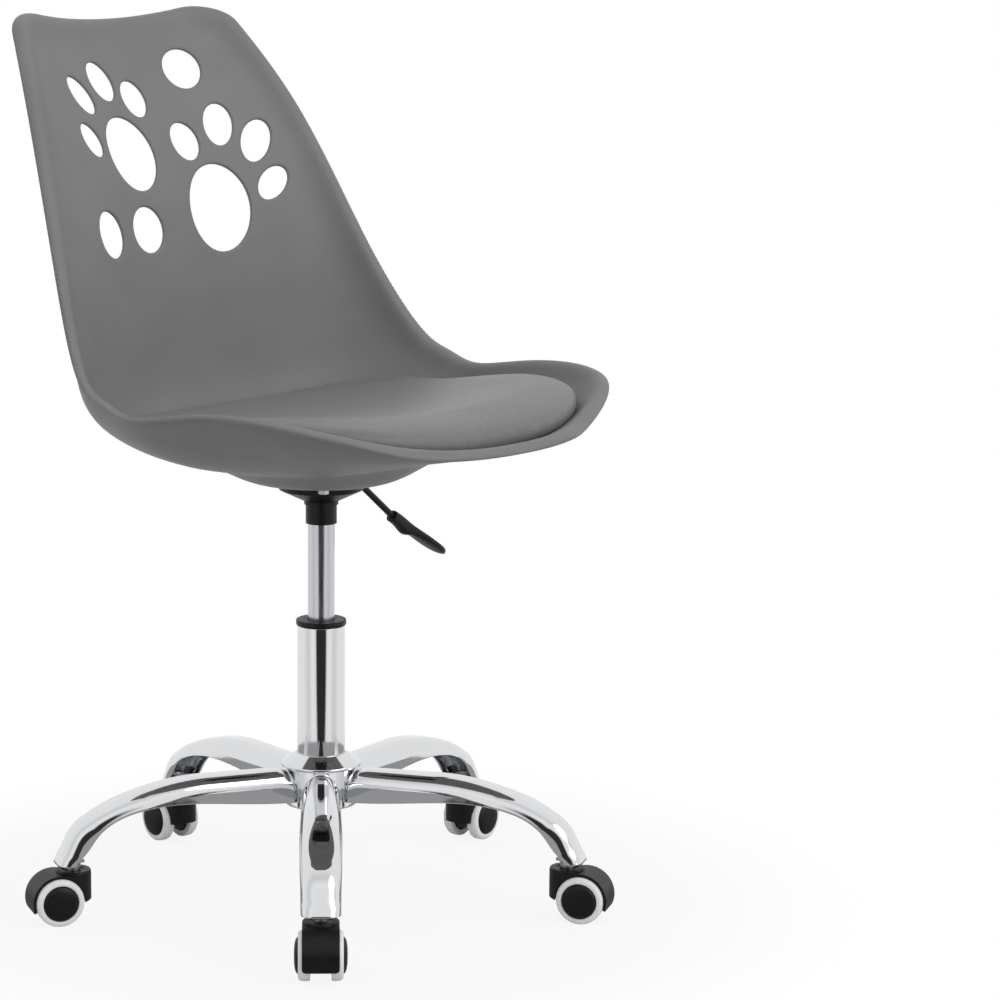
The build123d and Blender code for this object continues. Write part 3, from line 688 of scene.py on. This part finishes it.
def makeCushion():
    # squarish oval in plan, |x/a|^n + |y/b|^n = share^n; two faces that meet in a round edge
    share = np.sin(np.linspace(0, np.pi / 2, cushion["rings"])[1:])[:, None]
    ovalX, ovalY = squarishOval(fullTurn(cushion["turns"]), cushion["squareness"])
    x = cushion["halfWidth"] * share * ovalX
    y = cushion["halfLength"] * share * ovalY + cushion["centreY"]
    halfEdge = cushion["edge"] / 2
    crown = halfEdge + cushion["crown"] * (1 - share ** cushion["fullness"])
    share, crown = np.broadcast_to(share, x.shape), np.broadcast_to(crown, x.shape)
    upperRound, lowerRound = (np.sqrt(1 - share**power) for power in cushion["edgePowers"])
    middleHeight = cushion["bottom"] + halfEdge
    middle = seatPoint(x, y, np.full(x.shape, middleHeight))
    crest = seatPoint(x, y, middleHeight + crown)[..., 2]
    crest -= cushion["tilt"] * (y - cushion["centreY"]) / cushion["halfLength"]
    top = middle.copy()
    top[..., 2] += np.maximum(evened(x, y, crest) - middle[..., 2], halfEdge / 2) * upperRound
    begin, end = cushion["wrapShares"]
    wrap = cushion["wrapDepth"] * np.clip((share - begin) / (end - begin), 0, 1)
    low = seatPoint(x, y, middleHeight - (halfEdge + wrap) * lowerRound)
    patches = []
    for points in (top, low):
        patches += [(points, gridFaces(*x.shape, False, True)), fanPatch(points[0])]
    piece = meshPiece("seatCushion", patches, cushion["weld"])
    remesh = piece.modifiers.new("even", "REMESH")
    remesh.mode = "VOXEL"
    remesh.voxel_size = cushion["voxel"] * mm
    applyModifiers(piece)
    return piece


def averaged(mesh, values, rounds):
    # each point's value drawn half way to the mean of its neighbours, round by round
    ends = np.empty(len(mesh.edges) * 2, int)
    mesh.edges.foreach_get("vertices", ends)
    pairs = ends.reshape(-1, 2)
    here, there = np.vstack([pairs, pairs[:, ::-1]]).T
    count = np.bincount(here, minlength=len(values))[:, None]
    for _ in range(rounds):
        around = np.stack([np.bincount(here, values[there, i], len(values)) for i in range(3)], -1)
        values = (values + around / count) / 2
    return values


def fillCushion(piece):
    # cloth blown up from inside while its underside is held on the board
    rest = meshPoints(piece.data)
    x, y = rest[:, 0] / mm, rest[:, 1] / mm
    board = seatPoint(x, y, np.full(len(x), cushion["bottom"]))[:, 2]
    heldTop = board + cushion["edge"] * cushion["heldShare"]
    held = piece.vertex_groups.new(name="heldByBoard")
    held.add(np.flatnonzero(rest[:, 2] / mm < heldTop).tolist(), 1.0, "REPLACE")
    cloth = piece.modifiers.new("filling", "CLOTH")
    cloth.collision_settings.use_collision = False
    cover = cloth.settings
    cover.vertex_group_mass = held.name
    cover.use_pressure = True
    cover.uniform_pressure_force = cushion["pressure"]
    cover.effector_weights.gravity = 0
    cover.tension_stiffness = cover.compression_stiffness = cushion["stretchStiffness"]
    cover.bending_stiffness = cushion["bendStiffness"]
    for number in range(1, cushion["frames"] + 1):
        bpy.context.scene.frame_set(number)
    applyModifiers(piece)
    swell = meshPoints(piece.data) - rest
    length = np.linalg.norm(swell, axis=1, keepdims=True)
    swell *= np.minimum(1, cushion["swellCap"] * mm / np.maximum(length, tiny))
    swell = averaged(piece.data, swell, cushion["swellRounds"])
    piece.data.vertices.foreach_set("co", (rest + swell).reshape(-1))
    bpy.context.scene.frame_set(1)


seatCushion = makeCushion()
fillCushion(seatCushion)
seatCushion.vertex_groups.clear()
smoothing = seatCushion.modifiers.new("evenLeather", "SMOOTH")
smoothing.factor, smoothing.iterations = cushion["smoothing"]
applyModifiers(seatCushion)
finer = seatCushion.modifiers.new("finer", "SUBSURF")
finer.levels = finer.render_levels = 1
seatCushion.data.shade_smooth()
fitPiece(seatCushion, "seat", "seat_cushion")
print("cushion:", len(seatCushion.data.polygons), "faces")

arm = {
    "count": 5,
    "heading": 223.0,
    "crestZ": 143.5,
    "start": 33.0,
    "flatEnd": 125.0,
    "bend": (262.0, 30.0),  # radius and angle of the long bend, then of the nose
    "nose": (45.0, 35.0),
    "endZ": 62.0,
    "wall": 2.0,
    "topRadius": 16.0,
    "topRoom": (1.0, 2.0),  # by which it stays below the half width and the depth
    "leastDepth": 15.0,
    "width": [(30, 35), (60, 38), (110, 40), (200, 43.0), (250, 42), (285, 40)],  # reach, width
    "lowerEdge": [
        (28.5, 109), (60, 110.5), (100, 114), (145, 118), (182, 117.5),
        (212, 112), (232, 103.5), (246, 92), (257, 77), (272, 62),
    ],
    "lowerEdgePoints": 900,
    "rootRound": (54.0, 9.0, 0.98),  # where the crest rounds down to the hub, how far, how steeply
    "leastFall": 0.05,  # slope below which no point slides along the arm
    "alongPoints": (40, 50, 24, 14),  # on the flat run, the long bend, the nose and the tail
    "acrossPoints": (8, 12, 5),  # up a side, round the top's edge and on to the middle
}


def atHeading(x, y, z, number):
    # from +X to under the heading of an arm
    heading = np.radians(arm["heading"] + (number - 1) * 360 / arm["count"])
    cosine, sine = np.cos(heading), np.sin(heading)
    return np.stack([x * cosine - y * sine, x * sine + y * cosine, z], -1)


def armCrest():
    # flat run, long bend, nose and straight tail: points and slopes along the crest
    radius, angle = arm["bend"]
    noseRadius, noseAngle = arm["nose"]
    flatCount, bendCount, noseCount, tailCount = arm["alongPoints"]
    flat = np.linspace(arm["start"], arm["flatEnd"], flatCount)
    bendTurn = np.linspace(0, angle, bendCount)
    noseTurn = np.linspace(angle, angle + noseAngle, noseCount)[1:]
    turn = np.radians(np.hstack([bendTurn, noseTurn]))
    size = np.repeat([radius, noseRadius], [len(bendTurn), len(noseTurn)])
    stepTurn = np.diff(turn, prepend=0)
    middle = turn - stepTurn / 2
    x = arm["flatEnd"] + np.cumsum(size * stepTurn * np.cos(middle))
    z = arm["crestZ"] - np.cumsum(size * stepTurn * np.sin(middle))
    tail = np.linspace(0, 1, tailCount)[1:]
    drop = z[-1] - arm["endZ"]
    tailX = x[-1] + tail * drop / np.tan(turn[-1])
    reach = np.hstack([flat, x[1:], tailX])
    height = np.hstack([np.full(flatCount, arm["crestZ"]), z[1:], z[-1] - tail * drop])
    slope = np.hstack([np.zeros(flatCount), turn[1:], np.full(len(tail), turn[-1])])
    return reach, height, slope


def armDepth(crest, along, outward):
    # from the crest down to the lower edge, square to the crest
    knots = np.array(arm["lowerEdge"], float)
    places = np.linspace(0, len(knots) - 1, arm["lowerEdgePoints"])
    edge = np.stack([naturalCurve(knots[:, i], places) for i in (0, 1)], -1)
    away = edge[None] - crest[:, None]
    nearest = np.abs(np.einsum("ijk,ik->ij", away, along)).argmin(1)
    depth = -np.einsum("ik,ik->i", edge[nearest] - crest, outward)
    return np.maximum(depth, arm["leastDepth"])


def makeArm(number):
    # an upside-down U carried along the crest, its depth read from the lower edge, then walled
    reach, height, slope = armCrest()
    along = np.stack([np.cos(slope), -np.sin(slope)], -1)
    outward = np.stack([np.sin(slope), np.cos(slope)], -1)
    depth = armDepth(np.stack([reach, height], -1), along, outward)
    half = np.interp(reach, *zip(*arm["width"])) / 2
    rootEnd, rootDrop, steepness = arm["rootRound"]
    rootShare = np.clip((rootEnd - reach) / (rootEnd - arm["start"]), 0, 1)
    drop = rootDrop * (1 - np.sqrt(1 - rootShare**2 * steepness))
    sideRoom, lowerRoom = arm["topRoom"]
    radius = np.minimum(np.minimum(arm["topRadius"], half - sideRoom), depth - lowerRoom)

    # across the channel: 0 at one lower edge, up the side, over the round top, down to the other
    sideCount, roundCount, topCount = arm["acrossPoints"]
    sideSteps = np.linspace(0, 1, sideCount)[:-1]
    arc = np.radians(np.linspace(0, 90, roundCount))
    flatSteps = np.linspace(0, 1, topCount)[1:]
    sideY = np.repeat(half[:, None], len(sideSteps), 1)
    sideD = depth[:, None] + (radius + drop - depth)[:, None] * sideSteps
    topY = half[:, None] - radius[:, None] * (1 - np.cos(arc))
    topD = drop[:, None] + radius[:, None] * (1 - np.sin(arc))
    flatY = topY[:, -1:] * (1 - flatSteps)
    flatD = np.repeat(topD[:, -1:], len(flatSteps), 1)
    halfY = np.hstack([sideY, topY, flatY])
    halfD = np.hstack([sideD, topD, flatD])
    y = np.hstack([halfY, -halfY[:, -2::-1]])
    d = np.hstack([halfD, halfD[:, -2::-1]])
    x = reach[:, None] - outward[:, :1] * d
    z = height[:, None] - outward[:, 1:] * d

    # what would hang below the level cut slides back along the arm
    low = np.minimum(z - arm["endZ"], 0)
    x, z = x - along[:, :1] / np.minimum(along[:, 1:], -arm["leastFall"]) * low, z - low
    piece = meshPiece(f"arm{number}", [(atHeading(x, y, z, number), gridFaces(*x.shape))])
    wall = piece.modifiers.new("steelSheet", "SOLIDIFY")
    wall.thickness = arm["wall"] * mm
    wall.offset = -1
    return piece


for number in range(1, arm["count"] + 1):
    fitPiece(makeArm(number), "base", f"base_arm_{number}")
print("arms:", arm["count"])

turnedParts = {
    # body, node, corner radius, outline corners (radius, z)
    "baseHub": (
        "base", "base_hub", 1.2,
        [(25.2, 103), (37.6, 103), (36.4, 112), (36.4, 144.4), (25.2, 144.4)],
    ),
    "hubCollar": (
        "base", "hub_collar", 1.0,
        [(25.1, 145), (36.7, 145), (36.7, 144.5), (42, 144.5), (42, 147.6), (26.6, 158), (25.1, 158)],
    ),
    "columnTube": ("base", "column_tube", 0.7, [(22.9, 104), (25, 104), (25, 294), (22.9, 294)]),
    "columnGuide": (
        "base", "column_guide", 1.2,
        [(14.2, 214), (22.8, 214), (22.8, 294.2), (26.2, 294.2), (26.2, 300), (14.2, 300)],
    ),
    "gasCylinder": ("seat", "gas_cylinder", 0.8, [(3.1, 228), (14, 228), (14, 421), (3.1, 421)]),
}
for name, (body, node, radius, corners) in turnedParts.items():
    fitPiece(meshPiece(name, [turned(softCorners(corners, radius))]), body, node)
print("turned pieces:", len(turnedParts))

caster = {
    "stemCircle": 268.0155,
    "trail": 18.0,
    "wheelRadius": 25.0,
    "halfWidth": 18.5,  # hood
    "fenderRadius": 28.4,
    "hoodWall": 2.4,
    "fenderAngles": (-22.0, 132.0),  # lower and inner end, from the outward level
    "fenderPoints": (48, 33),
    "lowerCorner": 4.5,
    "topZ": 55.0,
    "housing": [  # shares of the half width and of the way up
        (1, 0), (1, 0.9), (0.985, 0.965), (0.95, 1), (0.62, 1), (0.6, 0.975), (0.33, 0.975),
    ],
    "turns": 96,  # of the housing and the wheels
    "webHalf": 9.8,
    "webInset": 1.0,  # below the fender's surface
    "webAngles": (-21.0, 150.0),
    "webBack": 0.8,  # share of the half width
    "webPoints": (60, 12, 14),
    "roomRadius": 26.0,
    "cut": (27.0, -37.0, 0.143),  # underside: its height at a reach, and how it falls outwards
    "bevel": (0.6, 2, 40.0),  # width, segments, least angle
    "tyre": [
        (18.45, 10.5), (24.2, 10.5), (25, 11.4), (25, 18.8), (24.2, 20.9), (22.2, 22.4), (18.45, 22.4),
    ],
    "tyreCorner": 1.4,
    "hub": [
        (4.1, 10.6), (18.4, 10.6), (18.4, 22.4), (17.6, 23.6), (14.6, 25.3),
        (8.5, 26.2), (0, 26.4), (0, 19), (4.1, 19),
    ],
    "hubCorner": 3.0,
}


def walled(outer, inner):
    # closed slab between two grids of the same size: both faces and the four strips at their edges
    rows, columns, _ = outer.shape
    patches = [(outer, gridFaces(rows, columns)), (inner, gridFaces(rows, columns))]
    for edge in (np.s_[0], np.s_[-1], np.s_[:, 0], np.s_[:, -1]):
        strip = np.stack([outer[edge], inner[edge]])
        patches.append((strip, gridFaces(2, strip.shape[1])))
    return patches


def hoodUnderside(reach):
    # height on a straight line that falls outwards
    height, start, fall = caster["cut"]
    return height - (reach - start) * fall


def fenderPatches():
    # part of a cylinder about the axle, whose lower edge has round corners
    half, corner, outer = caster["halfWidth"], caster["lowerCorner"], caster["fenderRadius"]
    alongCount, acrossCount = caster["fenderPoints"]
    y = half * np.sin(np.linspace(-np.pi / 2, np.pi / 2, acrossCount))[None, :]
    over = np.clip(np.abs(y) - half + corner, 0, corner)
    low, high = np.radians(caster["fenderAngles"])
    lift = corner - np.sqrt(corner**2 - over**2)
    start = low + lift / outer
    angle = start + (high - start) * np.linspace(0, 1, alongCount)[:, None]
    skins = []
    for radius in (outer, outer - caster["hoodWall"]):
        x = caster["trail"] + radius * np.cos(angle)
        z = caster["wheelRadius"] + radius * np.sin(angle)
        skins.append(np.stack(np.broadcast_arrays(x, y, z), -1))
    return walled(*skins)


def housingPatch():
    # stem housing: a round wall from the underside, or from the wheels' room, to a flat top
    half, turns = caster["halfWidth"], caster["turns"]
    turn, corners = fullTurn(turns), np.array(caster["housing"])
    radius, share = half * corners[:, :1], corners[:, 1:]
    x, y = radius * np.cos(turn), radius * np.sin(turn)
    wallX, wallY = half * np.cos(turn), half * np.sin(turn)
    fromAxle, roomRadius = wallX - caster["trail"], caster["roomRadius"]
    room = caster["wheelRadius"] + np.sqrt(np.clip(roomRadius**2 - fromAxle**2, 0, None))
    inRoom = (np.abs(wallY) > caster["webHalf"]) & (np.abs(fromAxle) < roomRadius)
    foot = np.where(inRoom, room, hoodUnderside(wallX))
    z = foot + share * (caster["topZ"] - foot)
    return np.stack(np.broadcast_arrays(x, y, z), -1), gridFaces(len(corners), turns, False, True)


def webPatch():
    # plate between the wheels, with the fender's outline above and the underside below
    arcCount, backCount, footCount = caster["webPoints"]
    around = np.radians(np.linspace(*caster["webAngles"], arcCount))
    radius, back = caster["fenderRadius"] - caster["webInset"], -caster["halfWidth"] * caster["webBack"]
    arcX = caster["trail"] + radius * np.cos(around)
    arcZ = caster["wheelRadius"] + radius * np.sin(around)
    backZ = np.linspace(arcZ[-1], hoodUnderside(back), backCount)
    footX = np.linspace(back, arcX[0], footCount)[1:-1]
    x = np.hstack([arcX, np.full(backCount, back), footX])
    z = np.hstack([arcZ, backZ, hoodUnderside(footX)])
    outline = np.stack([x, z], -1)
    rings = np.stack([outline.mean(0) + (outline - outline.mean(0)) * k for k in (0, 1, 1, 0)])
    sides = np.array([-1, -1, 1, 1])[:, None] * caster["webHalf"] * np.ones(len(outline))
    points = np.stack([rings[..., 0], sides, rings[..., 1]], -1)
    return points, gridFaces(len(rings), len(outline), False, True)


def standAt(points, number):
    # from a caster's own frame, reach outwards from its stem, to its place under an arm
    x, y, z = np.moveaxis(np.asarray(points, float).reshape(-1, 3), 1, 0)
    return atHeading(x + caster["stemCircle"], y, z, number)


def wheelPatch(outline, side):
    # turned about the axle, which lies across the caster
    points, faces = turned(outline, caster["turns"])
    r, across, up = points[..., 0], points[..., 2] * side, points[..., 1]
    return np.stack([caster["trail"] + r, across, caster["wheelRadius"] + up], -1), faces


hoodShape = [*fenderPatches(), housingPatch(), webPatch()]
wheelOutlines = {kind: softCorners(caster[kind], caster[kind + "Corner"]) for kind in ("tyre", "hub")}
bevelWidth, bevelSegments, bevelAngle = caster["bevel"]
for number in range(1, arm["count"] + 1):
    hood = meshPiece(f"casterHood{number}", [(standAt(p, number), f) for p, f in hoodShape])
    edges = hood.modifiers.new("mouldedEdges", "BEVEL")
    edges.width, edges.segments, edges.limit_method = bevelWidth * mm, bevelSegments, "ANGLE"
    edges.angle_limit = math.radians(bevelAngle)
    fitPiece(hood, f"caster_{number}", f"caster_{number}_hood")
    for letter, side in (("a", -1), ("b", 1)):
        for kind, outline in wheelOutlines.items():
            points, faces = wheelPatch(outline, side)
            piece = meshPiece(f"{kind}{number}{letter.upper()}", [(standAt(points, number), faces)])
            fitPiece(piece, f"caster_{number}_wheel_{letter}", f"caster_{number}_{kind}_{letter}")
print("casters:", arm["count"])

paddle = {
    "start": (112.0, 392.5),  # x, z of its socket's mouth
    "slope": 32.0,
    # place along it, half width, half thickness above, below
    "sections": [
        (-4, 6.3, 6.3, 6.3), (6, 6.7, 6.6, 6.6), (14, 6.9, 6.2, 8.0), (24, 7.2, 5.4, 9.5),
        (33, 8.4, 4.8, 6.5), (45, 10.8, 4.4, 4.8), (60, 12.8, 4.1, 4.3), (76, 12.6, 3.7, 3.9),
        (86, 9.8, 3.2, 3.4), (93, 5.0, 2.2, 2.4),
    ],
    "squareness": 2.7,
    "mouth": 0.55,  # share to which its first ring is drawn in
    "rings": 90,
    "turns": 64,
}


def makePaddle():
    # ovals |y/w|^n + |h/t|^n = 1 carried along a straight line, closed to a point at the far end
    rings, turns = paddle["rings"], paddle["turns"]
    knots = np.array(paddle["sections"], float)
    places = np.linspace(0, len(knots) - 1, rings)
    along, half, above, below = (naturalCurve(column, places)[:, None] for column in knots.T)
    ovalY, ovalH = squarishOval(fullTurn(turns), paddle["squareness"])
    ends = np.hstack([[paddle["mouth"]], np.ones(rings - 2), [0.0]])[:, None]
    y = half * ovalY * ends
    h = np.where(ovalH > 0, ovalH * above, ovalH * below) * ends
    slope = np.radians(paddle["slope"])
    startX, startZ = paddle["start"]
    x = startX + along * np.cos(slope) + h * np.sin(slope)
    z = startZ - along * np.sin(slope) + h * np.cos(slope)
    points = np.stack(np.broadcast_arrays(x, y, z), -1)
    return meshPiece("leverPaddle", [(points, gridFaces(rings, turns, False, True)), fanPatch(points[0])])


fitPiece(makePaddle(), "lever", "lever_paddle")
print("lever paddle done")

studio = {
    "cameraPlace": (-2.7386, -2.5555, 1.1151),
    "cameraAzimuth": 49.816,  # degrees from +Y towards +X, down from the level, and roll
    "cameraPitch": 10.412,
    "cameraRoll": 0.555,
    "lens": 132.11,
    "floorRadius": 0.62,  # beyond it the room is plain white
    "floorPoints": 96,
    "floorFade": (0.34, 0.6076, 0.88),  # radii between which the paper fades out, least glow
    "floorInMetal": 0.35,  # how bright the floor is where metal mirrors it
    "keySun": (0.76, 55, -10, 40),  # strength, tilt, heading, width in degrees
    "skyLevel": 0.66,
    "groundLevel": 0.48,  # light from below the level
    "levelRange": (-0.5, 0.3),  # upward share of a direction, from ground to sky
    # what metal sees: brightness by the cosine towards the dark gap behind the camera
    "gapTurn": 3.0,
    "wallEnds": [(0.0, 0.95), (0.93, 0.03)],
    "wallStops": [(0.45, 0.75), (0.75, 1.0), (0.88, 0.9)],
}
plainWhite = (1, 1, 1, 1)
cameraData = bpy.data.cameras.new("photoCamera")
cameraData.lens = studio["lens"]
camera = addObject("photoCamera", cameraData)
camera.location = studio["cameraPlace"]
aim = Euler((math.radians(90 - studio["cameraPitch"]), 0, -math.radians(studio["cameraAzimuth"])))
aim = aim.to_matrix() @ Matrix.Rotation(math.radians(studio["cameraRoll"]), 3, "Z")
camera.rotation_euler = aim.to_euler()
bpy.context.scene.camera = camera

strength, tilt, heading, width = studio["keySun"]
sunData = bpy.data.lights.new("keySun", "SUN")
sunData.energy = strength
sunData.angle = math.radians(width)
sun = addObject("keySun", sunData)
sun.rotation_euler = (math.radians(tilt), 0, math.radians(-heading))

# The floor: a paper disc that glows white to the camera, more so towards its edge.
floorMesh = bpy.data.meshes.new("floor")
around = fullTurn(studio["floorPoints"])[0]
rim = np.stack([np.cos(around), np.sin(around), 0 * around], -1) * studio["floorRadius"]
floorMesh.from_pydata(rim, [], [list(range(len(rim)))])
floor = addObject("floor", floorMesh)
floorPaper = bpy.data.materials.new("palePaper")
tree = emptyTree(floorPaper)
paper = addNode(tree, "BsdfDiffuse", {"Color": linearColor("#e2e2e2")})
path = addNode(tree, "LightPath").outputs
toCamera, toMetal = path["Is Camera Ray"], path["Is Glossy Ray"]
shine = addNode(tree, "MapRange", {"Value": toCamera, "To Min": studio["floorInMetal"]})
glow = addNode(tree, "Emission", {"Color": plainWhite, "Strength": shine.outputs[0]})
seen = addNode(tree, "Math", {0: toCamera, 1: toMetal}, operation="MAXIMUM")
spot = addNode(tree, "TexCoord").outputs["Object"]
away = addNode(tree, "VectorMath", {0: spot}, operation="LENGTH").outputs["Value"]
fadeStart, fadeEnd, leastGlow = studio["floorFade"]
fadeInputs = {"Value": away, "From Min": fadeStart, "From Max": fadeEnd, "To Min": leastGlow}
fade = addNode(tree, "MapRange", fadeInputs, interpolation_type="SMOOTHSTEP")
part = addNode(tree, "Math", {0: seen.outputs[0], 1: fade.outputs[0]}, operation="MULTIPLY")
blend = addNode(tree, "MixShader", {0: part.outputs[0], 1: paper.outputs[0], 2: glow.outputs[0]})
addNode(tree, "OutputMaterial", {"Surface": blend.outputs[0]})
floorMesh.materials.append(floorPaper)

# The room: even light for matt surfaces; metal sees white walls with a dark gap behind the camera.
world = bpy.data.worlds.new("studio")
bpy.context.scene.world = world
tree = emptyTree(world)
way = addNode(tree, "TexCoord").outputs["Generated"]
azimuth = math.radians(studio["cameraAzimuth"] - studio["gapTurn"])
gap = (-math.sin(azimuth), -math.cos(azimuth), 0)
toGap = addNode(tree, "VectorMath", {0: way, 1: gap}, operation="DOT_PRODUCT")
walls = addNode(tree, "ValToRGB", {"Fac": toGap.outputs["Value"]})
stops = walls.color_ramp.elements
for stop, (position, shade) in zip(stops, studio["wallEnds"]):
    stop.position, stop.color = position, (shade, shade, shade, 1)
for position, shade in studio["wallStops"]:
    stops.new(position).color = (shade, shade, shade, 1)
path = addNode(tree, "LightPath").outputs
upward = addNode(tree, "SeparateXYZ", {"Vector": way}).outputs["Z"]
lowest, highest = studio["levelRange"]
levels = {"To Min": studio["groundLevel"], "To Max": studio["skyLevel"]}
level = addNode(tree, "MapRange", {"Value": upward, "From Min": lowest, "From Max": highest, **levels})
even = addNode(tree, "Background", {"Color": plainWhite, "Strength": level.outputs[0]})
room = addNode(tree, "Background", {"Color": walls.outputs["Color"]})
white = addNode(tree, "Background", {"Color": plainWhite})
metal = addNode(tree, "MixShader", {0: path["Is Glossy Ray"], 1: even.outputs[0], 2: room.outputs[0]})
final = addNode(tree, "MixShader", {0: path["Is Camera Ray"], 1: metal.outputs[0], 2: white.outputs[0]})
addNode(tree, "OutputWorld", {"Surface": final.outputs[0]})
bpy.context.scene.view_settings.view_transform = "Standard"
print("studio ready")
